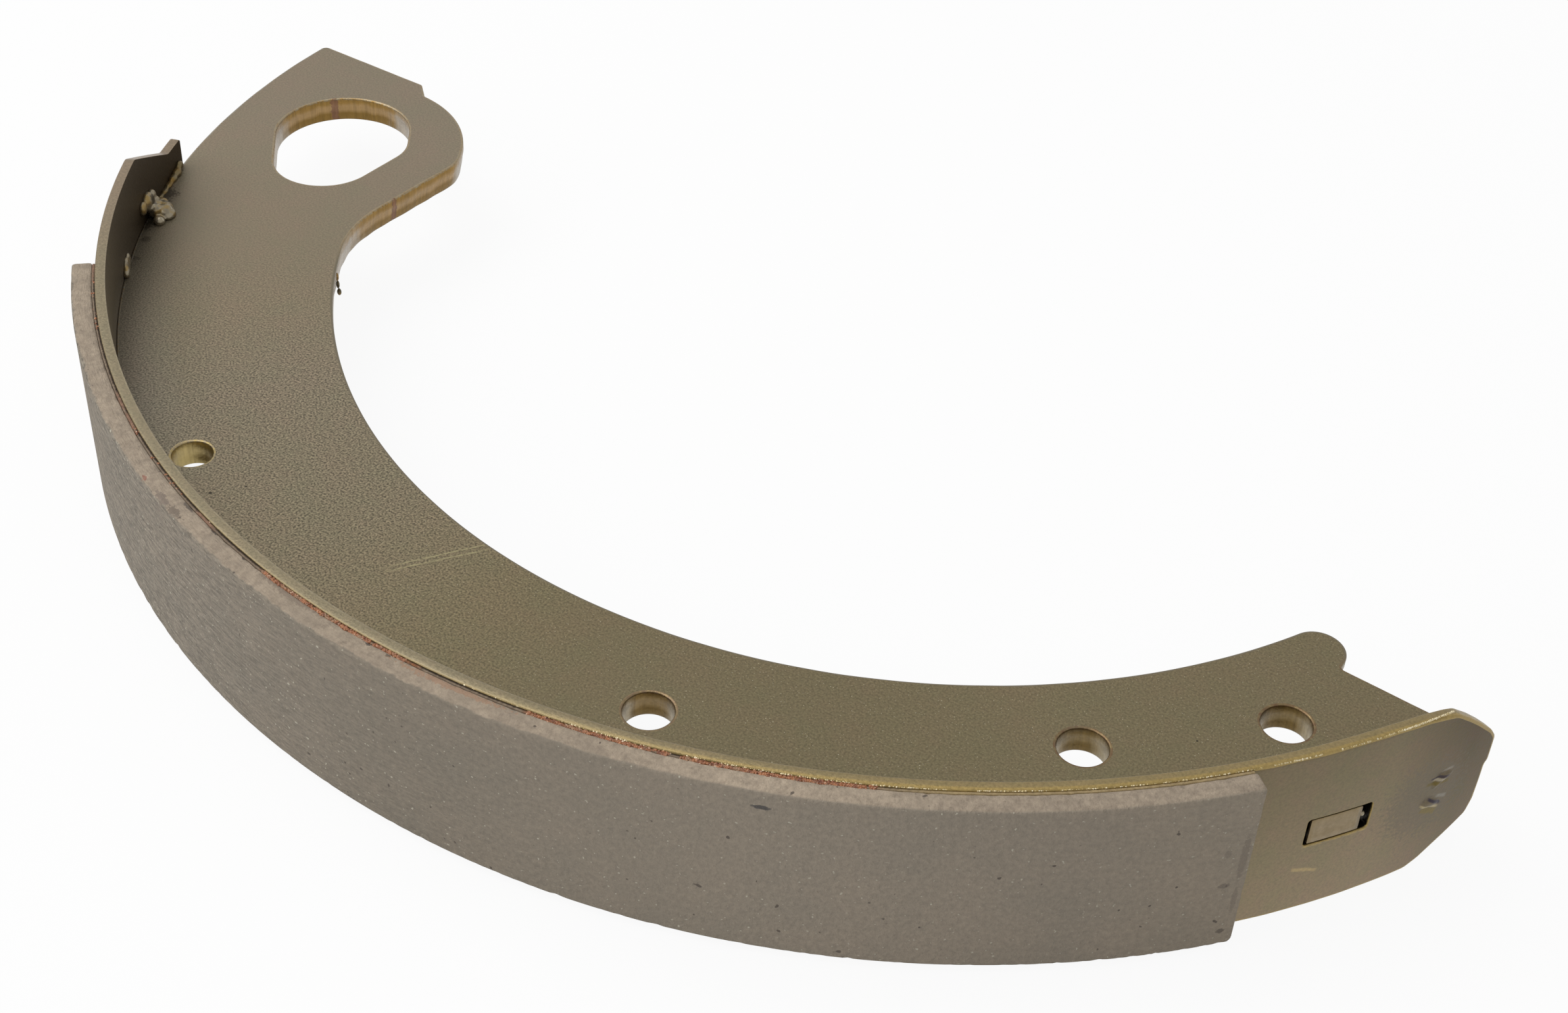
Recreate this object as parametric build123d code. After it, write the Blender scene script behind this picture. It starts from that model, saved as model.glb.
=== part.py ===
from build123d import *

import os
from math import cos, degrees, radians, sin

# Shoe of a drum brake, in millimetres. A punched web plate stands on edge inside a rolled rim and is
# welded to it along the corner. A friction lining is bonded round the outside.
#
# The origin is on the drum's axis, midway through the web. +Z is the drum's axis, and -Y points at the
# middle of the lining. A station angle is measured about +Z from -Y, and it is positive towards the toe
# end at +X. The heel end, with its anchor eye, is at -X. A setback is a distance in from the rim's
# inner face.

# Friction lining
drum_radius = 177.8
lining_thickness = 4.1
lining_width = 37.6
lining_rise = 0.55
lining_heel_angle = -48.2
lining_toe_angle = 47.6
lining_end_round = 0.6

# Adhesive under the lining
bond_thickness = 0.6
bond_inset = 0.4
bond_clearance = 0.05

# Rim, rolled from flat strip and cropped to a taper at both ends
rim_thickness = 2.1
rim_width = 39.0
rim_heel_angle = -70.4
rim_toe_angle = 65.0
heel_tongue_width = 18.7
heel_tongue_length = 6.9
heel_taper_length = 19.8
heel_tongue_round = 0.4
toe_tip_top = 7.9
toe_tip_bottom = -10.8
toe_upper_taper_length = 11.7
toe_lower_taper_length = 14.0
toe_shoulder_drop = 1.5
toe_shoulder_length = 14.0
toe_tip_round = 4.0

# Locating tab on the web, and the rim's slot that it stands in
slot_angle = 54.05
slot_length = 13.0
tab_length = 10.2
tab_end_gap = 0.7
tab_side_gap = 0.25

# Web plate: the crescent between the rim and an arc struck from a point beside the drum's axis
web_thickness = 5.8
web_depth = 41.3
inner_arc_shift_x = 3.8
inner_arc_shift_y = 0.7

# Heel end of the web: a lobe round the anchor eye, with a step above it and a straight flank below
heel_corner_angle = -91.6
heel_corner_round = 1.5
lobe_setback = 29.1
lobe_angle = -77.67
lobe_radius = 30.0
step_bearing = 83.8
step_length = 5.6
step_slope = 135.0
step_round = 1.0
flank_bearing = 17.2
flank_round = 9.0
flank_foot_angle = -64.4
flank_foot_round = 30.0

# Anchor eye: the outline that runs tight round three circles
eye_large_setback = 28.2
eye_large_angle = -79.9
eye_large_radius = 15.6
eye_small_setback = 30.1
eye_small_angle = -74.9
eye_small_radius = 11.9
eye_side_setback = 35.2
eye_side_angle = -79.0
eye_side_radius = 10.0

# Toe end of the web: a round nub, then the straight edge that the adjuster bears on
nub_angle = 60.75
nub_radius = 5.3
nub_flank_length = 2.2
nub_root_round = 1.0
toe_corner_angle = 65.6
toe_corner_round = 0.6

# Round holes through the web: a small one near the rim, and three for springs and the hold-down pin
heel_hole_setback = 9.4
heel_hole_angle = -31.9
heel_hole_radius = 4.0
middle_hole_setback = 21.5
middle_hole_angle = 11.1
toe_inner_hole_setback = 23.2
toe_inner_hole_angle = 40.7
toe_outer_hole_setback = 19.7
toe_outer_hole_angle = 55.1
spring_hole_radius = 4.65

# Weld beads in the corner between web and rim: three of their own at the heel, then equal tacks
tip_weld_angle = -68.3
tip_weld_leg = 2.0
tip_weld_length = 8.5
saddle_weld_angle = -63.3
saddle_weld_leg = 4.5
saddle_weld_length = 9.5
stray_weld_angle = -55.4
stray_weld_leg = 2.4
stray_weld_length = 5.0
tack_weld_leg = 3.0
tack_weld_length = 9.0
tack_weld_angles = (-30.0, 0.0, 30.0, 61.0)
lower_heel_weld_angle = -60.0

# Radii and heights that follow from the sizes above
lining_inner_radius = drum_radius - lining_thickness
rim_outer_radius = lining_inner_radius - bond_thickness
rim_inner_radius = rim_outer_radius - rim_thickness
inner_arc_radius = rim_inner_radius - web_depth
inner_arc_centre = (inner_arc_shift_x, inner_arc_shift_y)
web_half = web_thickness / 2
rim_half = rim_width / 2
lining_top = lining_rise + lining_width / 2
lining_bottom = lining_rise - lining_width / 2

# Overrun of a cutting tool past the faces that it cuts
overrun = 2.0


def station(radius, angle, centre=(0.0, 0.0)):
    """Point at a radius and station angle about a centre."""
    x = centre[0] + radius * sin(radians(angle))
    y = centre[1] - radius * cos(radians(angle))
    return Vector(x, y)


def arc_angle(length):
    """Angle that a length along the rim's outer face takes up."""
    return degrees(length / rim_outer_radius)


def ring_sector(inner, outer, start, end, bottom, top):
    """Piece of a ring about the drum's axis, between two station angles and two heights."""
    arcs = [CenterArc((0, 0), radius, start - 90, end - start) for radius in (inner, outer)]
    sides = [Line(arcs[0] @ share, arcs[1] @ share) for share in (0, 1)]
    return Pos(0, 0, bottom) * extrude(make_face(arcs + sides), top - bottom, dir=(0, 0, 1))


def round_corners(face, corners):
    """The face with its corner nearest to each given place rounded to the radius given with it."""
    for place, radius in corners:
        corner = face.vertices().sort_by_distance(place)[0]
        face = fillet(corner, radius)
    return face


def hole_outline(setback, angle, radius):
    """Circle in the web at a setback from the rim."""
    return Pos(station(rim_inner_radius - setback, angle)) * Circle(radius)


def eye_outline():
    """Egg shape of the anchor eye, drawn tight round its three circles."""
    circles = [
        hole_outline(eye_large_setback, eye_large_angle, eye_large_radius),
        hole_outline(eye_small_setback, eye_small_angle, eye_small_radius),
        hole_outline(eye_side_setback, eye_side_angle, eye_side_radius),
    ]
    return make_hull([circle.edge() for circle in circles])


def web_outline():
    """Outline of the web, from the heel corner round the lobe, inner arc and nub to the toe corner."""
    heel_corner = station(rim_inner_radius, heel_corner_angle)
    toe_corner = station(rim_inner_radius, toe_corner_angle)

    lobe_centre = station(rim_inner_radius - lobe_setback, lobe_angle)
    lobe = CenterArc(lobe_centre, lobe_radius, step_bearing, flank_bearing - step_bearing)
    step_foot = lobe @ 0
    step_top = step_foot + Vector(step_length, 0).rotate(Axis.Z, step_slope)
    flank_head = lobe @ 1

    inner_arc = CenterArc(
        inner_arc_centre, inner_arc_radius, flank_foot_angle - 90, nub_angle - flank_foot_angle
    )
    flank_foot = inner_arc @ 0
    nub_centre = station(inner_arc_radius + nub_radius, nub_angle, inner_arc_centre)
    nub = CenterArc(nub_centre, nub_radius, nub_angle + 90, -90 - nub_angle)
    nub_root = nub @ 1 - Vector(0, nub_flank_length)
    rim_arc = CenterArc(
        (0, 0), rim_inner_radius, heel_corner_angle - 90, toe_corner_angle - heel_corner_angle
    )

    outline = [
        Line(heel_corner, step_top),
        Line(step_top, step_foot),
        lobe,
        Line(flank_head, flank_foot),
        inner_arc,
        nub,
        Line(nub @ 1, nub_root),
        Line(nub_root, toe_corner),
        rim_arc,
    ]
    corners = [
        (heel_corner, heel_corner_round),
        (step_top, step_round),
        (step_foot, step_round),
        (flank_head, flank_round),
        (flank_foot, flank_foot_round),
        (nub_root, nub_root_round),
        (toe_corner, toe_corner_round),
    ]
    return round_corners(make_face(outline), corners)


def web_plate():
    """Punched crescent with its eye, its round holes and the tab that locates it in the rim."""
    outline = web_outline() - eye_outline()
    outline -= hole_outline(heel_hole_setback, heel_hole_angle, heel_hole_radius)
    outline -= hole_outline(middle_hole_setback, middle_hole_angle, spring_hole_radius)
    outline -= hole_outline(toe_inner_hole_setback, toe_inner_hole_angle, spring_hole_radius)
    outline -= hole_outline(toe_outer_hole_setback, toe_outer_hole_angle, spring_hole_radius)
    tab_start = slot_angle - arc_angle(slot_length / 2 - tab_end_gap)
    tab_end = tab_start + arc_angle(tab_length)
    tab = ring_sector(
        rim_inner_radius - overrun, rim_outer_radius, tab_start, tab_end, -web_half, web_half
    )
    return extrude(outline, web_half, both=True) + tab


def rim_end_crop(angle, above, below):
    """What comes off one end of the rim, outside two lines of points given as setback and height."""
    outward = 1 if angle > 0 else -1
    tangent = Vector(outward, 0).rotate(Axis.Z, angle)
    end_plane = Plane(station(rim_outer_radius, angle), x_dir=tangent, z_dir=station(1, angle))
    scrap = Sketch()
    for line, clear in ((above, rim_half + overrun), (below, -rim_half - overrun)):
        corners = [(-setback, height) for setback, height in line]
        inner_end = corners[-1][0]
        corners += [(inner_end, clear), (overrun, clear), (overrun, line[0][1])]
        scrap += make_face(Polyline(*corners, close=True))
    return extrude(end_plane * scrap, rim_width, both=True)


def tip_edges(rim, angle, heights):
    """The rim's short edges through its thickness at one end, one at each height."""
    middle = station(rim_outer_radius - rim_thickness / 2, angle)
    places = [Vector(middle.X, middle.Y, height) for height in heights]
    return [rim.edges().sort_by_distance(place)[0] for place in places]


def shoe_rim():
    """Rolled strip with a tongue at the heel, a tapered toe and the slot for the web's tab."""
    rim = ring_sector(
        rim_inner_radius, rim_outer_radius, rim_heel_angle, rim_toe_angle, -rim_half, rim_half
    )
    tongue_half = heel_tongue_width / 2
    heel_crop_length = heel_tongue_length + heel_taper_length
    heel_above = [(0, tongue_half), (heel_tongue_length, tongue_half), (heel_crop_length, rim_half)]
    heel_below = [(setback, -height) for setback, height in heel_above]
    toe_above = [
        (0, toe_tip_top),
        (toe_upper_taper_length, rim_half - toe_shoulder_drop),
        (toe_upper_taper_length + toe_shoulder_length, rim_half),
    ]
    toe_below = [(0, toe_tip_bottom), (toe_lower_taper_length, -rim_half)]
    rim -= rim_end_crop(rim_heel_angle, heel_above, heel_below)
    rim -= rim_end_crop(rim_toe_angle, toe_above, toe_below)
    rim = fillet(tip_edges(rim, rim_heel_angle, (tongue_half, -tongue_half)), heel_tongue_round)
    rim = fillet(tip_edges(rim, rim_toe_angle, (toe_tip_top, toe_tip_bottom)), toe_tip_round)
    slot_half_angle = arc_angle(slot_length / 2)
    slot_half_height = web_half + tab_side_gap
    slot = ring_sector(
        rim_inner_radius - overrun,
        rim_outer_radius + overrun,
        slot_angle - slot_half_angle,
        slot_angle + slot_half_angle,
        -slot_half_height,
        slot_half_height,
    )
    return rim - slot


def friction_lining():
    """Moulded block, ground to the drum's radius, with its two outer end edges eased."""
    block = ring_sector(
        lining_inner_radius,
        drum_radius,
        lining_heel_angle,
        lining_toe_angle,
        lining_bottom,
        lining_top,
    )
    upright_edges = block.edges().filter_by(Axis.Z)
    outer_edges = upright_edges.sort_by(lambda edge: Vector(edge.center().X, edge.center().Y).length)[-2:]
    return fillet(outer_edges, lining_end_round)


def bond_layer():
    """Cured adhesive between rim and lining, a hair clear of both and short of the lining's edges."""
    start = lining_heel_angle + arc_angle(bond_inset)
    end = lining_toe_angle - arc_angle(bond_inset)
    bottom = max(lining_bottom, -rim_half) + bond_inset
    top = min(lining_top, rim_half) - bond_inset
    inner = rim_outer_radius + bond_clearance
    outer = lining_inner_radius - bond_clearance
    return ring_sector(inner, outer, start, end, bottom, top)


def weld_bead(angle, leg, length, side):
    """One bead in the corner between web and rim: a quarter of a spindle, above or below the web."""
    crown = EllipticalCenterArc((0, 0), length / 2, leg, arc_size=180)
    half_section = make_face([crown, Line(crown @ 1, crown @ 0)])
    spindle = revolve(half_section, Axis.X)
    place = station(rim_inner_radius, angle)
    spindle = Pos(place.X, place.Y, side * web_half) * Rot(0, 0, angle) * spindle
    reach = arc_angle(length)
    heights = sorted((side * web_half, side * (web_half + leg + overrun)))
    corner = ring_sector(
        rim_inner_radius - leg - overrun, rim_inner_radius, angle - reach, angle + reach, *heights
    )
    return spindle & corner


def weld_beads():
    """All the weld beads: the run at the heel above the web, and tacks along both sides of it."""
    beads = [
        weld_bead(tip_weld_angle, tip_weld_leg, tip_weld_length, 1),
        weld_bead(saddle_weld_angle, saddle_weld_leg, saddle_weld_length, 1),
        weld_bead(stray_weld_angle, stray_weld_leg, stray_weld_length, 1),
        weld_bead(lower_heel_weld_angle, tack_weld_leg, tack_weld_length, -1),
    ]
    for angle in tack_weld_angles:
        for side in (1, -1):
            beads.append(weld_bead(angle, tack_weld_leg, tack_weld_length, side))
    return Compound(children=beads)


parts = {
    "web_plate": web_plate(),
    "shoe_rim": shoe_rim(),
    "friction_lining": friction_lining(),
    "bond_layer": bond_layer(),
    "weld_beads": weld_beads(),
}

os.makedirs("parts", exist_ok=True)
for name, shape in parts.items():
    export_step(shape, f"parts/{name}.step")
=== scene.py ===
from math import atan2, ceil, cos, pi, radians, sin

import bmesh
import bpy
from mathutils import Matrix, Vector, noise
from mathutils.geometry import delaunay_2d_cdt


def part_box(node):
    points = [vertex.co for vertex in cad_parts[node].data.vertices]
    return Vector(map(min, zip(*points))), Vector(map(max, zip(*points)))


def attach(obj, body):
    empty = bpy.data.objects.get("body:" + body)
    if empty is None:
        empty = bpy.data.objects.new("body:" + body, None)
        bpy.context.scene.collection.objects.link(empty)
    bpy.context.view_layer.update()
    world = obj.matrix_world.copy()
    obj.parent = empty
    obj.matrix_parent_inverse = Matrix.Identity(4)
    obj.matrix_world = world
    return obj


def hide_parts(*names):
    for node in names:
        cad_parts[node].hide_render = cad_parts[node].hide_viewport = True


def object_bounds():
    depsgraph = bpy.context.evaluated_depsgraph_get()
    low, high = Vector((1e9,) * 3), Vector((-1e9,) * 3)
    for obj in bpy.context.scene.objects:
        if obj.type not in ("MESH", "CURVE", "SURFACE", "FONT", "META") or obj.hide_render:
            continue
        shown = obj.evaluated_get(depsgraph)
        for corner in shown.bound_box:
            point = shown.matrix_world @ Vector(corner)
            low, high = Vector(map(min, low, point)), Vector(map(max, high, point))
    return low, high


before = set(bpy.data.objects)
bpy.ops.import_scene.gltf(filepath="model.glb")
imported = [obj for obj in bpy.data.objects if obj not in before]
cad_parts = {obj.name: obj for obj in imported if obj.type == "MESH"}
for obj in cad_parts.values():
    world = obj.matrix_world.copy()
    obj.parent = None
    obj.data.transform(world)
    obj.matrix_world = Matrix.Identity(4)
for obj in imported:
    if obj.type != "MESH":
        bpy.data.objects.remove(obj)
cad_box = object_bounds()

# Studio. The shoe lies on its side on a pale sheet in a white room, under a wide softbox above its
# heel side and a weaker one in front. Camera, mirrors and lenses see sheet and room as plain white.

room_fill = 0.576
room_in_mirrors = 0.80
sheet_tone = 0.80
sheet_white = 0.92
sheet_reach = 12.0
sheet_gap = 0.0002
camera_place = (0.191838, -0.391919, 0.291265)
camera_turn = ((29.4005, "Z"), (50.6675, "X"), (3.2005, "Z"))
camera_lens = 53.817


def step(tree, kind, inputs=(), **settings):
    """Adds a node to a tree, sets it, links or sets its inputs, and returns its first output."""
    node = tree.nodes.new(kind)
    for name, value in settings.items():
        setattr(node, name, value)
    for key, value in dict(inputs).items():
        if isinstance(value, bpy.types.NodeSocket):
            tree.links.new(value, node.inputs[key])
        else:
            node.inputs[key].default_value = value
    return node.outputs[0] if node.outputs else node


def tree_of(values):
    """Node tree that the linked ones among some values belong to."""
    return next(value.id_data for value in values if isinstance(value, bpy.types.NodeSocket))


def calc(operation, *values):
    return step(tree_of(values), "ShaderNodeMath", enumerate(values), operation=operation)


def white_for_camera(tree, shaded, white):
    """Shows the white shader to camera, mirror and lens rays, and the shaded one to the others."""
    rays = tree.nodes.new("ShaderNodeLightPath")
    straight = calc("MAXIMUM", rays.outputs["Is Camera Ray"], rays.outputs["Is Glossy Ray"])
    straight = calc("MAXIMUM", straight, rays.outputs["Is Transmission Ray"])
    return step(tree, "ShaderNodeMixShader", {0: straight, 1: shaded, 2: white})


def empty_tree(owner):
    """Clears the node tree of a material or a world, and returns it."""
    owner.use_nodes = True
    owner.node_tree.nodes.clear()
    return owner.node_tree


def placed(name, data):
    """Object of a mesh, a light or a camera, in the scene."""
    thing = bpy.data.objects.new(name, data)
    bpy.context.scene.collection.objects.link(thing)
    return thing


room = bpy.data.worlds.new("room")
bpy.context.scene.world = room
tree = empty_tree(room)
seen = tree.nodes.new("ShaderNodeLightPath").outputs["Is Camera Ray"]
brightness = calc("MAXIMUM", seen, room_in_mirrors)
lit_room = step(tree, "ShaderNodeBackground", {"Color": (1, 1, 1, 1), "Strength": room_fill})
white_room = step(tree, "ShaderNodeBackground", {"Color": (1, 1, 1, 1), "Strength": brightness})
step(tree, "ShaderNodeOutputWorld", {"Surface": white_for_camera(tree, lit_room, white_room)})

paper = bpy.data.materials.new("paper_sheet")
tree = empty_tree(paper)
matt = step(tree, "ShaderNodeBsdfDiffuse", {"Color": (sheet_tone, sheet_tone, sheet_tone, 1)})
glow = step(tree, "ShaderNodeEmission", {"Strength": 1.0})
washed = step(tree, "ShaderNodeMixShader", {0: sheet_white, 1: matt, 2: glow})
step(tree, "ShaderNodeOutputMaterial", {"Surface": white_for_camera(tree, matt, washed)})

sheet_mesh = bpy.data.meshes.new("floor")
sheet_height = cad_box[0].z - sheet_gap
corners = ((-1, -1), (1, -1), (1, 1), (-1, 1))
corners = [(x * sheet_reach, y * sheet_reach, sheet_height) for x, y in corners]
sheet_mesh.from_pydata(corners, [], [(0, 1, 2, 3)])
sheet_mesh.materials.append(paper)
sheet = placed("floor", sheet_mesh)


def softbox(name, place, size, watts):
    """Square softbox at a place, pointing at the middle of the shoe."""
    light = bpy.data.lights.new(name, "AREA")
    light.size = size
    light.energy = watts
    aim = (cad_box[0] + cad_box[1]) / 2 - Vector(place)
    turned = aim.to_track_quat("-Z", "Y").to_matrix().to_4x4()
    placed(name, light).matrix_world = Matrix.Translation(place) @ turned


softbox("softbox_overhead", (-0.60, -0.25, 1.0), size=1.0, watts=7.2)
softbox("softbox_in_front", (-0.55, -1.0, 0.45), size=0.7, watts=3.6)

lens = bpy.data.cameras.new("camera")
lens.lens = camera_lens
lens.clip_start = 0.01
camera = placed("camera", lens)
stand = Matrix.Translation(camera_place)
for turn, axis in camera_turn:
    stand = stand @ Matrix.Rotation(radians(turn), 4, axis)
camera.matrix_world = stand
bpy.context.scene.camera = camera
bpy.context.scene.view_settings.view_transform = "Standard"

# Web: the crescent-shaped plate that carries the shoe. Cold-rolled steel, punched in one stroke from
# above, which rolls the top edge over, shears the upper third and tears the rest away to a burr,
# then zinc-plated and passivated to a dull olive bronze that iridesces on the fresh-cut walls.

web_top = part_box("web_plate")[1].z
web_deep = web_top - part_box("web_plate")[0].z
web_half = 2.9
web_step = 0.0009
corner_crowd = 0.00012
web_tear = 0.00060
eye_tear = 0.00012
web_rim_edge = 0.165
web_tab_edge = 0.1715
eye_end_tone = (0.246, 0.197, 0.138)
toe_end_tone = (0.190, 0.152, 0.086)
# Scratches from a place to another in mm. Pits, and soot with painted shade in the corner by the saddle
# bead, at an angle and a radius, their size in mm, and the share of soot and shade. Flow marks on the cut
# wall, at a place and of a size in mm.
web_scratches = (((-32.3, -141.6), (-20.9, -126.0)), ((-31.3, -142.3), (-20.2, -127.6)))
web_pits = ((-27.2, 162.3, 0.35), (-26.7, 155.6, 0.25), (48.5, 150.2, 0.2))
web_soot_and_shade = (
    ((-65.9, 170.0), 2.5, 0.80), ((-61.4, 170.4), 1.8, 0.75),
    ((-59.5, 169.3), 1.1, 0.6), ((-56.9, 169.8), 0.9, 0.5),
)
cut_flow_marks = ((-151.9, -14.6, 0.9), (-112.2, -41.6, 0.75))
flap_shadow_at = (-55.1, 125.6, -0.9)
hole_golden_side = (0.49, -0.87, 0.0)
eye_golden_side = (0.695, -0.719, 0.0)


def face_borders(mesh, height):
    """Ordered borders of a solid's flat face at a height: the outer one runs left about, and is first."""
    shell = bmesh.new()
    shell.from_mesh(mesh)
    bmesh.ops.remove_doubles(shell, verts=shell.verts, dist=1e-6)
    level = [face for face in shell.faces if all(abs(v.co.z - height) < 1e-5 for v in face.verts)]
    rim_edges = {}
    for face in level:
        for loop in face.loops:
            if loop.link_loop_radial_next.face not in level:
                start, end = loop.vert, loop.link_loop_next.vert
                rim_edges[start.index] = (start.co.xy.copy(), end.index)
    borders = []
    while rim_edges:
        first = next(iter(rim_edges))
        border = []
        at = first
        while at in rim_edges:
            place, following = rim_edges.pop(at)
            border.append(place)
            at = following
        borders.append(border)
    shell.free()
    return sorted(borders, key=len, reverse=True)


def turn_between(one, other):
    return atan2(one.cross(other), one.dot(other))


def true_curve(border, spacing):
    """Puts points back on the arcs that a border's chords stand for, and evenly along its straights."""
    count = len(border)
    chords = [border[(i + 1) % count] - border[i] for i in range(count)]
    turns = [turn_between(chords[i - 1], chords[i]) for i in range(count)]
    places = []
    for i, chord in enumerate(chords):
        after = (i + 1) % count
        swept = 0.0
        for turn, neighbour in ((turns[i], chords[i - 1]), (turns[after], chords[after])):
            if abs(neighbour.length / chord.length - 1) < 0.012 and 0.012 < abs(turn) < 0.53:
                swept = turn
        parts = max(1, ceil(chord.length / spacing), ceil(abs(swept) / 0.12))
        along = chord.normalized()
        right = Vector((along.y, -along.x))
        shares = [part / parts for part in range(parts)]
        if not swept and chord.length > 3 * corner_crowd:
            near = corner_crowd / chord.length
            for turn, share in ((turns[i], near), (turns[after], 1 - near)):
                if abs(turn) > 0.2:
                    shares.append(share)
        for share in sorted(shares):
            if swept:
                radius = chord.length / (2 * sin(swept / 2))
                angle = swept * (share - 0.5)
                forward = chord.length / 2 + radius * sin(angle)
                out = radius * (cos(angle) - cos(swept / 2))
                places.append(border[i] + along * forward + right * out)
            else:
                places.append(border[i] + chord * share)
    return places


def set_in(border, depths):
    """Moves each point of a border to its left, into the metal, by its own depth."""
    count = len(border)
    moved = []
    for i, place in enumerate(border):
        before = (place - border[i - 1]).normalized()
        after = (border[(i + 1) % count] - place).normalized()
        left = Vector((-(before.y + after.y), before.x + after.x))
        left = left.normalized() if left.length > 1e-6 else Vector((-after.y, after.x))
        stretch = 1 / max(0.6, left.dot(Vector((-after.y, after.x))))
        moved.append(place + left * depths[i] * stretch)
    for _ in range(6):
        for i in range(count):
            after = (i + 1) % count
            if (moved[after] - moved[i]).dot(border[after] - border[i]) < 0:
                moved[i] = moved[after] = (moved[i] + moved[after]) / 2
    return moved


def fill_flat(plate, rings, between=()):
    """Fills a face inside the first ring and outside the others, by way of the points between them."""
    level = rings[0][0].co.z
    corners = [v for ring in rings for v in ring] + [plate.verts.new((*place, level)) for place in between]
    owner = [number for number, ring in enumerate(rings) for _ in ring] + [0] * len(between)
    edges = []
    for ring in rings:
        first = len(edges)
        edges += [(first + i, first + (i + 1) % len(ring)) for i in range(len(ring))]
    cut = delaunay_2d_cdt([v.co.xy for v in corners], edges, [], 1, 1e-9)
    made = [corners[ids[0]] if ids else None for ids in cut[3]]
    for triangle in cut[2]:
        holes = {owner[ids[0]] if ids else 0 for ids in (cut[3][i] for i in triangle)}
        if len(holes) == 1 and holes != {0}:
            continue
        for i in triangle:
            if made[i] is None:
                made[i] = plate.verts.new((*cut[0][i], level))
        if len({made[i] for i in triangle}) == 3 and not plate.faces.get([made[i] for i in triangle]):
            plate.faces.new([made[i] for i in triangle])


def punched_plate(borders, section, between=()):
    """Closed plate between a top and a foot face. The section gives, for a point of a border, its
    steps down the cut wall, as how far in and how high. Walls take the second material."""
    plate = bmesh.new()
    top_rings = []
    foot_rings = []
    for number, border in enumerate(borders):
        walls = [section(place, number) for place in border]
        rings = []
        for level in range(len(walls[0])):
            places = set_in(border, [wall[level][0] for wall in walls])
            rings.append([plate.verts.new((*p, w[level][1])) for p, w in zip(places, walls)])
        for upper, lower in zip(rings, rings[1:]):
            for i in range(len(border)):
                j = (i + 1) % len(border)
                face = plate.faces.new((upper[i], lower[i], lower[j], upper[j]))
                face.material_index = 1
        top_rings.append(rings[0])
        foot_rings.append(rings[-1])
    fill_flat(plate, top_rings, between)
    fill_flat(plate, foot_rings, between)
    bmesh.ops.delete(plate, geom=[v for v in plate.verts if not v.link_faces], context="VERTS")
    for face in plate.faces:
        face.smooth = True
    bmesh.ops.remove_doubles(plate, verts=plate.verts, dist=1e-7)
    bmesh.ops.dissolve_degenerate(plate, dist=1e-7, edges=plate.edges)
    bmesh.ops.recalc_face_normals(plate, faces=plate.faces)
    return plate


def add_piece(name, shell, materials):
    """Makes an object of a shell, with its materials, at the origin."""
    mesh = bpy.data.meshes.new(name)
    shell.to_mesh(mesh)
    shell.free()
    for material in materials:
        mesh.materials.append(material)
    return placed(name, mesh)


def unevenness(place, size, salt):
    """Smooth chance from -1 to 1 that changes over a size."""
    return noise.noise(Vector((place[0] / size, place[1] / size, salt)))


def web_wall(place, number):
    radius = place.length
    if number == 0:
        tear = web_tear * min(1, max(0, (web_rim_edge - radius) / 0.006))
    else:
        tear = eye_tear
    tear *= 1 + 0.35 * unevenness(place, 0.004, 1)
    roll = 1 + 0.3 * unevenness(place, 0.006, 2)
    if radius > web_tab_edge:
        roll *= 0.3
    shear = 0.0020 * (1 + 0.25 * unevenness(place, 0.005, 3))
    foot = web_top - web_deep
    return [
        (0.00052 * roll, web_top),
        (0.00040 * roll, web_top),
        (0.00018 * roll, web_top - 0.00005),
        (0.00005 * roll, web_top - 0.00018),
        (0.0, web_top - 0.00040),
        (0.0, web_top - shear),
        (0.00008 * roll, web_top - shear - 0.00015),
        (0.6 * tear, web_top - 0.0042),
        (tear, foot + 0.00035),
        (tear + 0.00010, foot + 0.00008),
        (tear + 0.00022, foot),
        (tear + 0.00036, foot),
    ]


def times(*values):
    """Product of linked values and numbers."""
    product = values[0]
    for value in values[1:]:
        product = calc("MULTIPLY", product, value)
    return product


def blend(share, one, other, how="MIX"):
    """Mixes two colours by a share, 0 for the first."""
    one, other = ((*colour, 1) if isinstance(colour, tuple) else colour for colour in (one, other))
    inputs = {0: share, 6: one, 7: other}
    mixed = step(tree_of(inputs.values()), "ShaderNodeMix", inputs, data_type="RGBA", blend_type=how)
    return mixed.node.outputs[2]


def tinted(share, tone, factor):
    """Multiplies a colour by another one, by a share."""
    return blend(share, tone, blend(1.0, tone, factor, "MULTIPLY"))


def speckled(tone, noise, dark, light):
    """Multiplies a colour by a darker and a lighter one where a noise is low and high."""
    return blend(1.0, tone, blend(fade(noise, 0.3, 0.7), dark, light), "MULTIPLY")


def fade(value, low, high, start=0.0, end=1.0):
    """Runs from start to end as the value goes from low to high."""
    return step(value.id_data, "ShaderNodeMapRange", {0: value, 1: low, 2: high, 3: start, 4: end})


def within(value, start, full, ending, end):
    """Rises from 0 to 1 between the first two limits, and falls back between the last two."""
    return times(fade(value, start, full), fade(value, end, ending))


def swing(noise, reach):
    """Centres a noise on 0, so that it mostly stays between minus and plus a reach."""
    return fade(noise, 0.3, 0.7, -reach, reach)


def grain(place, scale, detail=3.0, rough=0.6):
    settings = {"Vector": place, "Scale": scale, "Detail": detail, "Roughness": rough}
    return step(place.id_data, "ShaderNodeTexNoise", settings)


def stretched(place, size, turn=(0, 0, 0)):
    return step(place.id_data, "ShaderNodeMapping", {"Vector": place, "Scale": size, "Rotation": turn})


def vector(operation, *values):
    return step(tree_of(values), "ShaderNodeVectorMath", enumerate(values), operation=operation)


def joined(*parts):
    """Vector of two or three numbers."""
    return step(tree_of(parts), "ShaderNodeCombineXYZ", enumerate(parts))


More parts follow.
